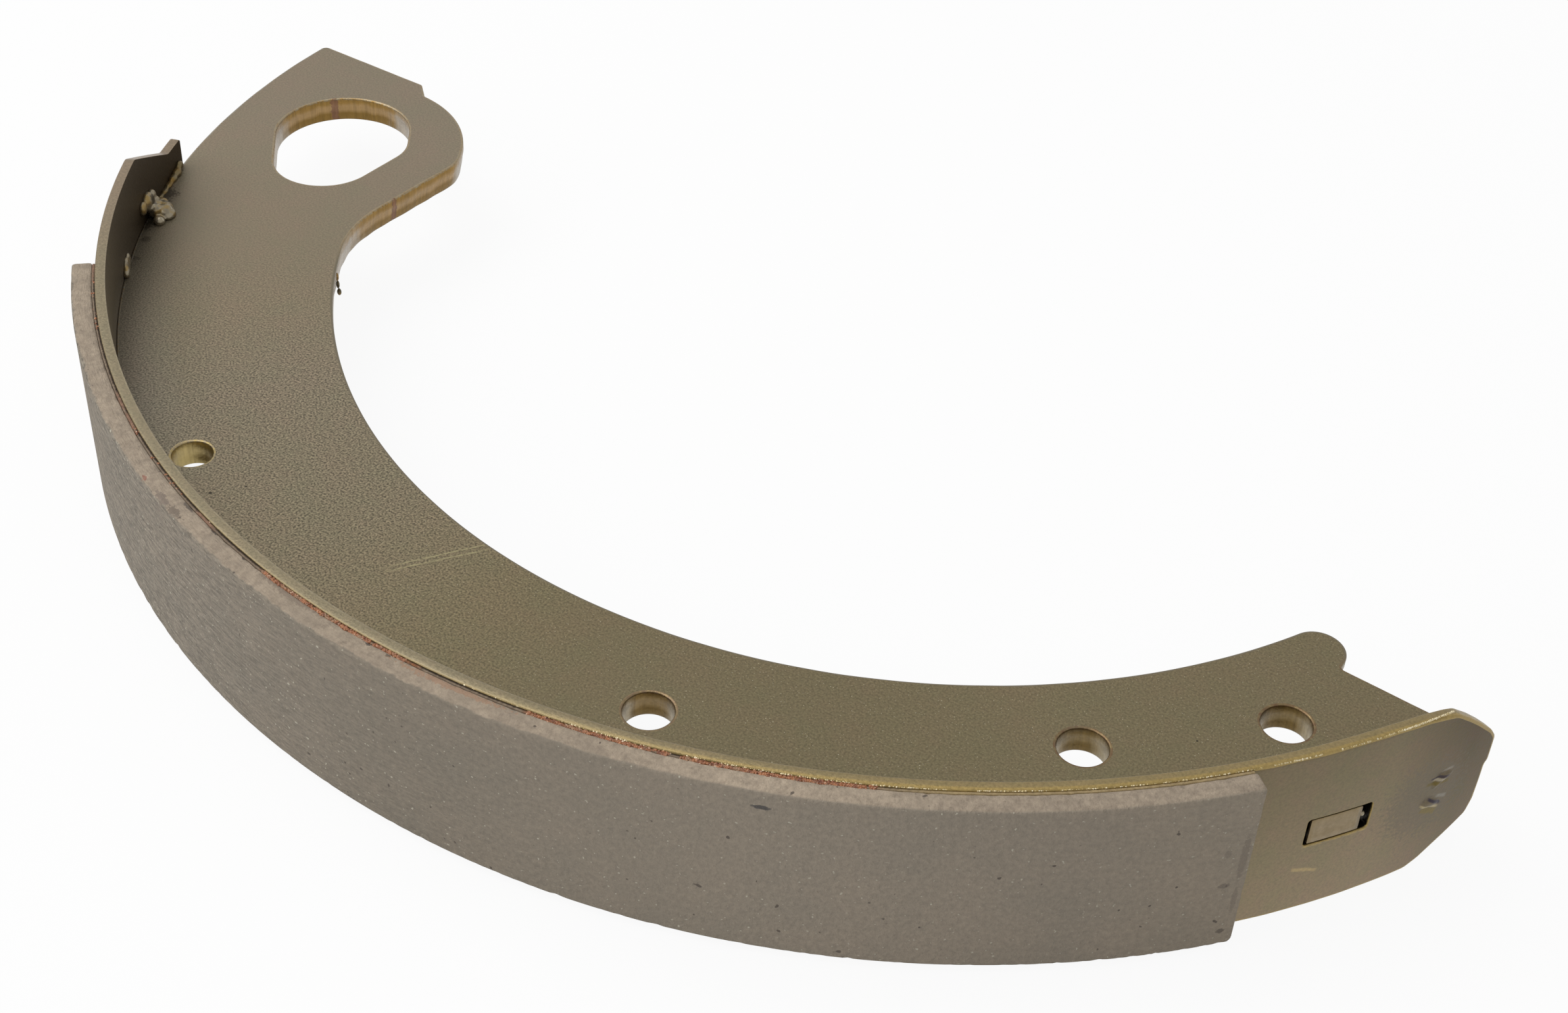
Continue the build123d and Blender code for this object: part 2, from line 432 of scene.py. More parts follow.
def split(place):
    return step(place.id_data, "ShaderNodeSeparateXYZ", {0: place}).node.outputs


def dotted(one, other):
    """Scalar product of two vectors."""
    return vector("DOT_PRODUCT", one, other).node.outputs["Value"]


def new_finish(name):
    """Empty material, with the piece's own coordinates, and with radius, angle and height on the drum."""
    material = bpy.data.materials.new(name)
    place = empty_tree(material).nodes.new("ShaderNodeTexCoord").outputs["Object"]
    x, y, z = split(place)
    flat = joined(x, y)
    radius = calc("SQRT", dotted(flat, flat))
    angle = calc("ARCTAN2", x, times(y, -1.0))
    return material, place, radius, times(angle, 180 / pi), z


def lay_finish(tone, rough, metal, relief, lift):
    """Ends a material: colour, roughness, how metallic it is, and a relief of a height in metres."""
    tree = tone.id_data
    normal = step(tree, "ShaderNodeBump", {"Height": relief, "Distance": lift, "Strength": 1.0})
    sockets = {"Base Color": tone, "Roughness": rough, "Metallic": metal, "Normal": normal}
    surface = step(tree, "ShaderNodeBsdfPrincipled", sockets)
    step(tree, "ShaderNodeOutputMaterial", {"Surface": surface})


def stroke(place, start, end, wide, sway=0.0, taper=0.0004):
    """Share of a straight mark between two places on a plane, in mm, which fades out at its ends."""
    a, b = Vector(start) / 1000, Vector(end) / 1000
    along = (b - a).normalized()
    reached = vector("SUBTRACT", place, (*a, 0.0))
    off = dotted(reached, (-along.y, along.x, 0.0))
    run = dotted(reached, (along.x, along.y, 0.0))
    off = calc("ADD", off, swing(grain(place, 300.0, 1.0), sway))
    mark = fade(calc("ABSOLUTE", off), wide, 0.4 * wide)
    length = (b - a).length
    return times(mark, fade(run, -taper, taper), fade(run, length + taper, length - taper))


def stain(place, where, size, ragged=0.5):
    """Share of a small ragged spot round a place in mm: 1 in it, 0 outside it."""
    away = vector("SUBTRACT", place, tuple(value / 1000 for value in where))
    away = vector("DIVIDE", away, tuple(value / 1000 for value in size))
    reach = calc("SQRT", dotted(away, away))
    rough = fade(grain(place, 1400.0, 3.0), 0.25, 0.75, -ragged, ragged)
    return fade(calc("ADD", reach, rough), 1.15, 0.85)


def on_drum(angle, radius, height):
    """Place from an angle and a radius on the drum and a height."""
    return (radius * sin(radians(angle)), -radius * cos(radians(angle)), height)


web_face, place, radius, angle, height = new_finish("web_passivated_face")
# Lighter towards the eye end and darker towards the toe: a painted broad highlight.
along = fade(angle, -80.0, -2.0)
tone = blend(along, eye_end_tone, toe_end_tone)
cloud = fade(grain(place, 90.0, 4.0), 0.35, 0.65)
tone = tinted(cloud, tone, (0.95, 1.00, 0.98))
blush = fade(grain(place, 420.0, 3.0), 0.42, 0.68, 0.0, 0.22)
tone = tinted(blush, tone, (1.08, 0.97, 1.04))
cooler = within(angle, -50.0, -38.0, -18.0, -6.0)
tone = tinted(cooler, tone, (0.98, 1.00, 1.07))
lighter = times(within(angle, -58.0, -49.0, -38.0, -28.0), fade(radius, 0.158, 0.167))
tone = tinted(lighter, tone, (1.15, 1.19, 1.29))
fine = grain(place, 2400.0, 1.0, 0.5)
coarse = times(within(angle, -60.0, -38.0, -16.0, 6.0), 0.36)
coarse = times(swing(fine, 1.0), calc("ADD", fade(angle, -60.0, -45.0, 0.13, 0.22), coarse))
tone = blend(1.0, tone, calc("ADD", coarse, 1.0), "MULTIPLY")
duller = within(angle, -14.0, 4.0, 24.0, 40.0)
tone = tinted(duller, tone, (0.92, 0.92, 0.92))
# Darker towards the rim at the heel: heat tint by the welds and painted shade of the corner between web and
# rim.
burn_and_corner_shade = calc("POWER", fade(radius, 0.148, 0.171), 2.0)
burn_and_corner_shade = times(burn_and_corner_shade, fade(angle, -28.0, -54.0, 0.0, 0.88), fade(angle, -72.0, -64.0, 0.0, 0.8))
tone = blend(burn_and_corner_shade, tone, (0.060, 0.056, 0.040))
# Soot and painted shade in the corner beside the saddle bead.
for where, size, share in web_soot_and_shade:
    soot_and_shade = stain(place, on_drum(*where, web_half), (size, size, 9.0), 0.8)
    tone = blend(times(soot_and_shade, share), tone, (0.040, 0.030, 0.018))
glint = fade(grain(place, 3400.0, 1.0, 0.4), 0.70, 0.78)
tone = blend(times(glint, fade(along, 0.3, 1.0, 0.15, 0.7)), tone, (0.55, 0.50, 0.36))
for *where, size in web_pits:
    pit = stain(place, on_drum(*where, web_half), (size, size, 9.0))
    tone = blend(pit, tone, (0.050, 0.040, 0.026))
for start, end in web_scratches:
    mark = stroke(place, start, end, 0.00024, 0.00008, 0.003)
    mark = times(mark, fade(grain(place, 900.0, 2.0), 0.34, 0.56, 0.25, 0.85))
    tone = blend(mark, tone, (0.340, 0.300, 0.165))
lay_finish(tone, fade(fine, 0.3, 0.7, 0.42, 0.56), metal=0.78, relief=fine, lift=0.00004)

web_cut, place, radius, angle, height = new_finish("web_passivated_cut")
wave = grain(stretched(place, (1.0, 1.0, 0.25)), 330.0, 3.0)
level = calc("ADD", fade(height, web_top - web_deep, web_top), swing(wave, 0.07))
toeward = fade(angle, -50.0, 30.0)
golden = blend(toeward, (0.275, 0.165, 0.046), (0.150, 0.098, 0.030))
bright = blend(toeward, (0.342, 0.220, 0.094), (0.200, 0.140, 0.055))
tone = blend(toeward, (0.210, 0.125, 0.032), (0.150, 0.098, 0.030))
tone = blend(fade(level, 0.32, 0.48), tone, bright)
tone = blend(fade(level, 0.66, 0.80), tone, golden)
outward = place.node.outputs["Normal"]
uneven = swing(wave, 0.10)
pale = blend(toeward, (0.370, 0.315, 0.245), (0.310, 0.250, 0.150))
pale = blend(fade(level, 0.66, 0.80, 0.0, 0.6), pale, golden)
# Cut walls turned away from the camera's side are painted pale, a painted sheen. Walls facing that side
# keep the golden colour.
for golden_side, low, high, part in (
    (hole_golden_side, 0.55, 0.86, fade(angle, -28.0, -24.0)),
    (eye_golden_side, 0.40, 0.66, fade(angle, -42.0, -48.0)),
):
    facing = calc("ADD", dotted(outward, golden_side), uneven)
    tone = blend(times(fade(facing, high, low), part), tone, pale)
heel_hole = times(within(angle, -34.6, -34.0, -29.8, -29.2), within(radius, 0.150, 0.151, 0.169, 0.170))
tone = blend(times(heel_hole, 0.85), tone, (0.440, 0.345, 0.145))
for x, y, size in cut_flow_marks:
    flow = stain(place, (x, y, 0.0), (size, size, 99.0), 0.5)
    tone = blend(times(flow, 0.75), tone, (0.180, 0.088, 0.060))
ridges = grain(stretched(place, (1.0, 1.0, 0.08)), 1500.0, 2.0)
tone = speckled(tone, ridges, (0.84, 0.84, 0.84), (1.18, 1.18, 1.18))
lit_edge = fade(height, web_top - 0.0005, web_top - 0.0002)
lit_edge = times(lit_edge, fade(grain(place, 1100.0, 2.0), 0.35, 0.65))
tone = blend(lit_edge, tone, blend(toeward, (0.330, 0.275, 0.185), (0.165, 0.100, 0.055)))
arc_edge = times(fade(radius, 0.144, 0.141), fade(angle, -62.0, -57.0))
tone = blend(times(arc_edge, fade(height, web_top - 0.0012, web_top - 0.0007)), tone, (0.195, 0.163, 0.110))
torn = grain(place, 1900.0, 3.0)
heel_edge = times(fade(radius, 0.1688, 0.1698), fade(torn, 0.40, 0.55), fade(angle, -36.0, -46.0))
tone = blend(heel_edge, tone, (0.280, 0.260, 0.215))
tab_end = fade(radius, web_tab_edge, web_tab_edge + 0.0006)
mottle = fade(grain(place, 700.0, 3.0), 0.35, 0.65)
tone = blend(tab_end, tone, blend(mottle, (0.224, 0.168, 0.090), (0.268, 0.204, 0.116)))
# Painted shadow: a dark slit beside the torn flap on the inner arc, reaching over the flap.
flap_shadow = stain(place, on_drum(*flap_shadow_at), (1.1, 1.1, 2.4), 0.3)
tone = blend(times(flap_shadow, 0.85), tone, (0.082, 0.074, 0.050))
# Painted shade where the web passes through the rim's slot.
slot_shade = times(within(radius, 0.1700, 0.1704, 0.1725, 0.1728), within(angle, 50.0, 51.0, 57.0, 58.0))
tone = blend(slot_shade, tone, (0.020, 0.015, 0.010))
relief = calc("ADD", times(ridges, fade(level, 0.45, 0.6)), torn)
relief = times(relief, calc("SUBTRACT", 1.0, times(tab_end, 0.85)))
lay_finish(tone, fade(torn, 0.3, 0.7, 0.30, 0.46), metal=0.85, relief=relief, lift=0.00005)

borders = face_borders(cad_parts["web_plate"].data, web_top)
plate = punched_plate([true_curve(border, web_step) for border in borders], web_wall)
for v in plate.verts:
    v.co.x = max(v.co.x, cad_box[0].x)
    v.co.y = min(v.co.y, cad_box[1].y)
web = add_piece("web", plate, (web_face, web_cut))
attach(web, "root")
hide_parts("web_plate")

# Rim: the curved table that the lining sits on. Steel strip blanked with a narrow tongue at the heel
# and a blunt tip at the toe, pierced with one slot, rolled to the drum's radius and plated with the
# web. Two welds burnt through from behind and left small raised lips near the toe.

rim_inside = 0.1710
rim_outside = 0.1731
rim_half = 0.0195
rim_grid = 0.0016
lip_grid = 0.00022
mm_per_degree = 3.02
rim_heel = ((-61.53, -19.5), (60.3, -19.5))
rim_toe_foot = ((61.2, -18.2), (62.8, -14.8), (64.4, -11.2), (64.76, -8.0), (64.8, 0.6), (65.0, 1.2))
rim_toe_top = ((65.0, 7.1), (64.5, 9.2), (63.4, 12.3), (62.3, 15.1), (61.1, 17.7), (60.3, 18.4))
rim_shoulder = ((58.8, 19.1), (56.7, 19.45), (55.2, 19.5), (-61.53, 19.5))
rim_tongue = ((-68.12, 9.35), (-70.4, 9.35), (-70.4, -9.35), (-68.12, -9.35))
rim_slot = ((51.9, -3.15), (51.9, 3.15), (56.2, 3.15), (56.2, -3.15))
rim_corner_cut = 0.0004
# Light and shade painted on the welds' lips, as strokes from and to an angle and a height in mm, width in
# mm, colour: lit sides painted as highlights, crevices above painted as dark shadow lines, lower sides
# painted as olive shade, and one light mark below the slot. Lips: where, half length and half width in mm,
# tilt in radians, height in m.
lip_light_and_shade = (
    ((61.1, 4.1), (61.9, 4.2), 0.45, (0.235, 0.205, 0.160)),
    ((60.1, 1.9), (61.8, 1.2), 0.60, (0.150, 0.112, 0.036)),
    ((60.35, 3.1), (61.75, 2.75), 0.34, (0.062, 0.048, 0.052)),
    ((60.5, 2.5), (61.4, 2.3), 0.38, (0.330, 0.285, 0.205)),
    ((61.2, -2.1), (61.95, -2.9), 0.60, (0.225, 0.205, 0.165)),
    ((60.2, -4.4), (61.4, -6.1), 0.95, (0.185, 0.142, 0.052)),
    ((51.6, -8.7), (53.3, -10.5), 0.60, (0.390, 0.295, 0.150)),
    ((60.6, -2.1), (61.65, -4.3), 0.42, (0.055, 0.044, 0.055)),
    ((60.05, -3.2), (61.5, -5.0), 0.42, (0.380, 0.315, 0.185)),
)
burnt_lips = (((61.15, 2.3), 2.4, 0.8, 0.6, 0.00042), ((60.75, -3.2), 2.1, 0.9, -0.1, 0.00048))
rim_face_tone = (0.184, 0.143, 0.083)
rim_foot_reflection_tone = (0.290, 0.222, 0.139)
rim_edge_tone = (0.262, 0.215, 0.136)
rim_edge_toe_tone = (0.286, 0.215, 0.102)
rim_heel_shade_tone = (0.050, 0.034, 0.018)


def on_strip(corners):
    """Border of the flat strip, along and across it, from angles on the drum and heights in mm."""
    return [Vector((radians(angle) * rim_outside, across / 1000)) for angle, across in corners]


def eased(border, cut):
    """Cuts each corner of a border twice, so that it turns in four small steps."""
    for share in (cut, 0.4 * cut):
        corners = []
        for i, place in enumerate(border):
            for neighbour in (border[i - 1], border[(i + 1) % len(border)]):
                away = neighbour - place
                corners.append(place + away.normalized() * min(share, 0.3 * away.length))
        border = corners
    return border


def rim_wall(place, number):
    lap = (1 + 0.3 * unevenness(place, 0.005, 7)) * (0.35 if number else 1)
    if place.y > 0:
        lap *= 0.35 + 0.65 * min(1, max(0, (place.x + 0.02) / 0.06))
    burr = 0.00014 * unevenness(place, 0.0016, 8) if 0.168 < place.x < 0.186 and place.y > 0 else 0
    return [
        (0.00058 * lap, rim_outside),
        (0.00046 * lap, rim_outside),
        (0.00022 * lap + max(0, burr), rim_outside - 0.00006),
        (0.00007 * lap + max(0, burr), rim_outside - 0.00018),
        (max(0, burr), rim_outside - 0.00038),
        (0.0, rim_outside - 0.0013),
        (0.00002, rim_inside + 0.00020),
        (0.00007 * lap, rim_inside + 0.00006),
        (0.00014 * lap, rim_inside),
        (0.00024 * lap, rim_inside),
    ]


def lip_height(along, across):
    """How far the burnt-through welds stand up from the rim's outer face at a place on the strip."""
    up = 0.0
    for (angle, level), long, wide, tilt, high in burnt_lips:
        x = (along / rim_outside * 180 / pi - angle) * mm_per_degree
        y = across * 1000 - level
        x, y = x * cos(tilt) + y * sin(tilt), y * cos(tilt) - x * sin(tilt)
        y += 0.12 * x * x
        ridge = max(0.0, 1 - (x / long) ** 2 - (y / wide) ** 2)
        up += high * ridge ** 0.6 - 0.00010 * max(0.0, 1 - (x / long) ** 2 - ((y - 1.3 * wide) / wide) ** 2)
    return up


def rolled(strip):
    """Rolls a flat strip round the drum's axis: along becomes the angle, and height the radius."""
    for v in strip.verts:
        angle = v.co.x / rim_outside
        radius = v.co.z
        if radius > rim_outside - 1e-6:
            radius += lip_height(v.co.x, v.co.y)
        v.co = (radius * sin(angle), -radius * cos(angle), v.co.y)
    bmesh.ops.recalc_face_normals(strip, faces=strip.faces)
    return strip


def strip_grid(low, high, pitch):
    """Even rows of points over a box of the strip, clear of its slot."""
    across = max(1, round((high.y - low.y) / pitch.y))
    along = max(1, round((high.x - low.x) / pitch.x))
    grid = [(low.x + (high.x - low.x) * i / along, low.y + (high.y - low.y) * j / across)
            for i in range(along + 1) for j in range(across + 1)]
    return [p for p in grid if not (slot_low.x < p[0] < slot_high.x and slot_low.y < p[1] < slot_high.y)]


rim_border = on_strip(rim_heel + rim_toe_foot + rim_toe_top + rim_shoulder + rim_tongue)
rim_border = eased(rim_border, rim_corner_cut)
slot_border = eased(on_strip(rim_slot), rim_corner_cut)
slot_low = on_strip(((51.6, -4.0),))[0]
slot_high = on_strip(((56.5, 4.0),))[0]
inner_points = strip_grid(*on_strip(((-60.0, -18.0), (58.5, 18.0))), Vector((rim_grid, 0.0045)))
inner_points += strip_grid(*on_strip(((-69.9, -8.0), (-60.5, 8.0))), Vector((rim_grid, 0.004)))
inner_points += strip_grid(*on_strip(((59.0, -7.0), (63.0, 6.0))), Vector((lip_grid, lip_grid)))

rim_steel, place, radius, angle, height = new_finish("rim_passivated_face")
# Lighter towards the foot, next to the sheet: a painted reflection of the sheet.
across = fade(height, rim_half, -rim_half)
tone = blend(across, rim_face_tone, rim_foot_reflection_tone)
tip_tone = blend(across, (0.070, 0.047, 0.020), (0.196, 0.150, 0.096))
tone = blend(fade(angle, 57.0, 63.0, 0.0, 0.92), tone, tip_tone)
cloud = fade(grain(place, 130.0, 4.0), 0.35, 0.65)
tone = tinted(cloud, tone, (0.93, 1.00, 0.94))
blush = fade(grain(place, 300.0, 3.0), 0.42, 0.68, 0.0, 0.5)
tone = tinted(blush, tone, (1.08, 0.98, 1.06))
unrolled = joined(times(angle, mm_per_degree / 1000), height)
heated = stain(unrolled, (60.2 * mm_per_degree, -1.0, 0.0), (8.0, 8.5, 9.0), 0.7)
tone = blend(times(heated, 0.55), tone, (0.150, 0.127, 0.090))
under_edge = times(fade(height, 0.0183, 0.0190), fade(angle, 10.0, 35.0, 0.0, 0.7))
tone = blend(under_edge, tone, (0.150, 0.105, 0.042))
# Painted light and shade on the welds' lips.
for start, end, wide, colour in lip_light_and_shade:
    ends = [(turn * mm_per_degree, level) for turn, level in (start, end)]
    tone = blend(stroke(unrolled, *ends, wide / 1000, 0.00015, 0.0003), tone, colour)
sill = stroke(unrolled, (52.0 * mm_per_degree, -3.45), (56.1 * mm_per_degree, -3.45), 0.00030, 0.00010)
sill = times(sill, fade(grain(place, 800.0, 2.0), 0.42, 0.58))
tone = blend(sill, tone, (0.380, 0.280, 0.110))
inside = fade(radius, rim_inside + 0.0006, rim_inside + 0.0003)
# Painted shade: the rim's inner face darkened towards the heel, darkest at its heel end.
heel_inner_shade = times(inside, fade(angle, -30.0, -54.0, 0.25, 1.0))
tone = blend(heel_inner_shade, tone, blend(fade(angle, -62.0, -50.0), rim_heel_shade_tone, (0.108, 0.086, 0.056)))
# Lighter low on the inner face by the web at the heel: a painted reflection of the web.
web_reflection = times(fade(height, 0.0075, 0.0038), fade(angle, -57.0, -49.0), inside, 0.6)
tone = blend(web_reflection, tone, (0.180, 0.155, 0.115))
fine = grain(place, 1900.0, 2.0, 0.7)
tone = speckled(tone, fine, (0.82, 0.82, 0.82), (1.18, 1.18, 1.18))
lay_finish(tone, fade(fine, 0.3, 0.7, 0.42, 0.56), metal=0.78, relief=fine, lift=0.00004)

rim_cut, place, radius, angle, height = new_finish("rim_passivated_edge")
skin = fade(radius, rim_inside, rim_outside)
wave = grain(place, 380.0, 3.0)
toeward = fade(angle, 2.0, 30.0)
tone = blend(toeward, rim_edge_tone, rim_edge_toe_tone)
tone = tinted(fade(wave, 0.35, 0.65), tone, (0.92, 0.95, 0.95))
# Golden line along the outer part of the strip's edge towards the toe: a painted highlight.
edge_highlight = times(fade(skin, 0.56, 0.72), toeward)
tone = blend(edge_highlight, tone, (0.340, 0.245, 0.092))
outer_roll = times(fade(skin, 0.84, 1.0), fade(angle, -25.0, 30.0, 0.6, 1.0))
tone = blend(outer_roll, tone, blend(fade(angle, 22.0, 29.0), (0.150, 0.105, 0.038), (0.310, 0.225, 0.085)))
inner_roll = times(fade(skin, 0.16, 0.06, 0.0, 0.7), fade(angle, 20.0, 0.0))
tone = blend(inner_roll, tone, (0.320, 0.270, 0.180))
tone = blend(fade(angle, -46.0, -58.0, 0.0, 0.7), tone, (0.270, 0.200, 0.140))
speck = grain(place, 1900.0, 2.0, 0.6)
tone = speckled(tone, speck, (0.84, 0.84, 0.84), (1.16, 1.16, 1.16))
# Painted shade inside the slot.
slot_shade = times(within(angle, 51.2, 51.4, 56.6, 56.8), fade(calc("ABSOLUTE", height), 0.0042, 0.0040))
slot_shade = times(slot_shade, fade(radius, rim_outside - 0.00015, rim_outside - 0.0004))
tone = blend(slot_shade, tone, (0.018, 0.014, 0.009))
lay_finish(tone, fade(speck, 0.3, 0.7, 0.32, 0.48), metal=0.82, relief=speck, lift=0.00006)

rim_borders = [true_curve(border, rim_grid) for border in (rim_border, slot_border)]
rim = add_piece("rim", rolled(punched_plate(rim_borders, rim_wall, inner_points)), (rim_steel, rim_cut))
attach(rim, "root")
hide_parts("shoe_rim")

# Friction lining: one curved block, moulded from resin, fibre and mineral, ground to the drum's
# radius and sawn to length. Its saw-cut sides are pale, the ground face is darker, its edges chip.

lining_inside = 0.1737
lining_outside = 0.17779
lining_foot = -0.01825
lining_head = 0.01935
lining_heel = -48.2
lining_toe = 47.6
lining_pitch = 0.003
lining_face_pitch = 0.0031
lining_side_tone = (0.300, 0.246, 0.185)
lining_face_tone = (0.256, 0.214, 0.164)
lining_heel_tone = (0.205, 0.174, 0.134)
# Stains, and three near-black spots at the top edge by the rim that paint the shade in notches: angle,
# height and radius of the middle, half sizes along, up and in, in mm, colour, share.
lining_stains_and_shade = (
    ((-21.6, 19.3, 176.9), (2.0, 9.0, 0.75), (0.190, 0.150, 0.118), 0.90),
    ((-20.1, 19.3, 176.8), (1.8, 9.0, 0.75), (0.165, 0.130, 0.098), 0.90),
    ((-20.0, 19.3, 174.1), (1.6, 9.0, 0.45), (0.085, 0.068, 0.055), 0.8),
    ((-23.9, 19.3, 177.1), (0.7, 9.0, 0.40), (0.240, 0.085, 0.055), 0.7),
    ((-17.1, 19.3, 173.9), (0.9, 9.0, 0.35), (0.060, 0.048, 0.038), 0.9),
    ((-14.0, 19.3, 173.8), (0.5, 9.0, 0.40), (0.060, 0.048, 0.038), 0.9),
    ((-3.3, 19.3, 174.1), (0.6, 9.0, 0.45), (0.060, 0.048, 0.038), 0.9),
    ((-1.8, 19.3, 174.2), (0.5, 9.0, 0.40), (0.090, 0.070, 0.050), 0.8),
    ((2.6, 19.3, 174.5), (10.0, 9.0, 0.65), (0.320, 0.175, 0.100), 0.55),
    ((-9.5, 19.3, 174.2), (7.0, 9.0, 0.70), (0.190, 0.145, 0.108), 0.60),
    ((20.9, 15.9, 177.8), (1.5, 0.45, 1.0), (0.055, 0.050, 0.048), 0.9),
    ((46.1, 5.0, 177.8), (0.6, 0.9, 1.0), (0.150, 0.125, 0.100), 0.5),
    ((46.3, -2.9, 177.8), (1.1, 0.60, 1.0), (0.120, 0.098, 0.078), 0.60),
    ((46.7, -14.6, 177.8), (0.7, 0.6, 1.0), (0.080, 0.064, 0.050), 0.7),
    ((47.1, 3.5, 177.5), (0.7, 5.5, 1.2), (0.150, 0.122, 0.095), 0.50),
    ((47.1, -7.0, 177.5), (0.5, 3.0, 1.2), (0.150, 0.122, 0.095), 0.45),
)


def add_inputs(tree, inputs):
    """Gives a Geometry Nodes tree its named inputs, and returns the sockets that hand them out."""
    kinds = {float: "NodeSocketFloat", int: "NodeSocketInt", type(None): "NodeSocketMaterial"}
    for name, value in inputs.items():
        socket = tree.interface.new_socket(name, in_out="INPUT", socket_type=kinds[type(value)])
        if value is not None:
            socket.default_value = value
    tree.interface.new_socket("Geometry", in_out="OUTPUT", socket_type="NodeSocketGeometry")
    return tree.nodes.new("NodeGroupInput").outputs


def settled(piece):
    """Keeps what a piece's modifiers make of it as its plain mesh."""
    solved = piece.evaluated_get(bpy.context.evaluated_depsgraph_get())
    mesh = bpy.data.meshes.new_from_object(solved)
    piece.modifiers.clear()
    piece.data = mesh
    return piece


def grown(name, tree, values):
    """Runs a Geometry Nodes tree with values for its inputs, and keeps the result as a plain mesh."""
    piece = placed(name, bpy.data.meshes.new(name + "_seed"))
    growth = piece.modifiers.new("growth", "NODES")
    growth.node_group = tree
    for item in tree.interface.items_tree:
        if item.in_out == "INPUT" and item.name in values:
            growth[item.identifier] = values[item.name]
    bpy.context.view_layer.update()
    return settled(piece)


def crowded(share, power):
    """Moves even shares from -0.5 to 0.5 towards the two ends, where the edges need more points."""
    rest = calc("SUBTRACT", 1.0, times(calc("ABSOLUTE", share), 2.0))
    rest = calc("POWER", calc("MAXIMUM", rest, 0.0), power)
    size = times(calc("SUBTRACT", 1.0, rest), 0.5)
    return times(calc("SIGN", share), size)


def drum_place(radius, turned, height):
    """Place at a radius and an angle on the drum, and at a height."""
    down = times(radius, calc("COSINE", turned), -1.0)
    return joined(times(radius, calc("SINE", turned)), down, height)


def hand_over(geometry, finish):
    """Ends a Geometry Nodes tree: real meshes only, with a finish."""
    tree = geometry.id_data
    geometry = step(tree, "GeometryNodeRealizeInstances", {"Geometry": geometry})
    geometry = step(tree, "GeometryNodeSetMaterial", {"Geometry": geometry, "Material": finish})
    step(tree, "NodeGroupOutput", {"Geometry": geometry})


curved_block = tree = bpy.data.node_groups.new("curved_block", "GeometryNodeTree")
given = add_inputs(tree, {
    "Inside radius": 0.1737, "Thickness": 0.0041, "Foot": -0.018, "Width": 0.0376,
    "Heel angle": -48.0, "Toe angle": 48.0, "Edge round": 0.0005, "Chip depth": 0.0004,
    "Chip scale": 300.0, "Points along": 360, "Points across": 30, "Points deep": 8,
    "Worn corner": 0.001, "Finish": None,
})
block = step(tree, "GeometryNodeMeshCube", {
    "Size": (1.0, 1.0, 1.0), "Vertices X": given["Points along"],
    "Vertices Y": given["Points across"], "Vertices Z": given["Points deep"],
})
even = split(step(tree, "GeometryNodeInputPosition"))
swept = calc("RADIANS", calc("SUBTRACT", given["Toe angle"], given["Heel angle"]))
outside = calc("ADD", given["Inside radius"], given["Thickness"])
length = times(swept, outside)
flat = joined(
    times(crowded(even[0], 1.3), length),
    times(crowded(even[1], 2.0), given["Width"]),
    times(crowded(even[2], 1.8), given["Thickness"]),
)
half_length = times(length, 0.5)
half_width = times(given["Width"], 0.5)
half_thick = times(given["Thickness"], 0.5)
edge = given["Edge round"]
core = vector("SUBTRACT", joined(half_length, half_width, half_thick), joined(edge, edge, edge))
inner = vector("MINIMUM", vector("MAXIMUM", flat, vector("MULTIPLY", core, (-1, -1, -1))), core)
outward = vector("NORMALIZE", vector("SUBTRACT", flat, inner))
steepness = dotted(vector("ABSOLUTE", outward), (1, 1, 1))
on_edge = calc("MAXIMUM", calc("SUBTRACT", steepness, 1.0), 0.0)
chips = times(fade(grain(flat, given["Chip scale"], 4.0), 0.52, 0.72), given["Chip depth"], on_edge)
stand = {0: outward, "Scale": calc("SUBTRACT", edge, chips)}
shaped = vector("ADD", inner, step(tree, "ShaderNodeVectorMath", stand, operation="SCALE"))
along, across, deep = split(shaped)
worn = given["Worn corner"]
to_toe = calc("MAXIMUM", calc("SUBTRACT", calc("ADD", along, worn), half_length), 0.0)
to_foot = calc("MAXIMUM", calc("SUBTRACT", worn, calc("ADD", across, half_width)), 0.0)
reach = calc("SQRT", calc("ADD", times(to_toe, to_toe), times(to_foot, to_foot)))
over = calc("SUBTRACT", 1.0, calc("DIVIDE", worn, calc("MAXIMUM", reach, worn)))
along = calc("SUBTRACT", along, times(to_toe, over))
across = calc("ADD", across, times(to_foot, over))
middle = calc("RADIANS", times(calc("ADD", given["Heel angle"], given["Toe angle"]), 0.5))
turned = calc("ADD", calc("DIVIDE", along, outside), middle)
deep = calc("ADD", deep, calc("ADD", given["Inside radius"], half_thick))
bent = drum_place(deep, turned, calc("ADD", across, calc("ADD", given["Foot"], half_width)))
block = step(tree, "GeometryNodeSetPosition", {"Geometry": block, "Position": bent})
block = step(tree, "GeometryNodeMergeByDistance", {"Geometry": block, "Distance": 1e-7})
hand_over(step(tree, "GeometryNodeSetShadeSmooth", {"Geometry": block}), given["Finish"])

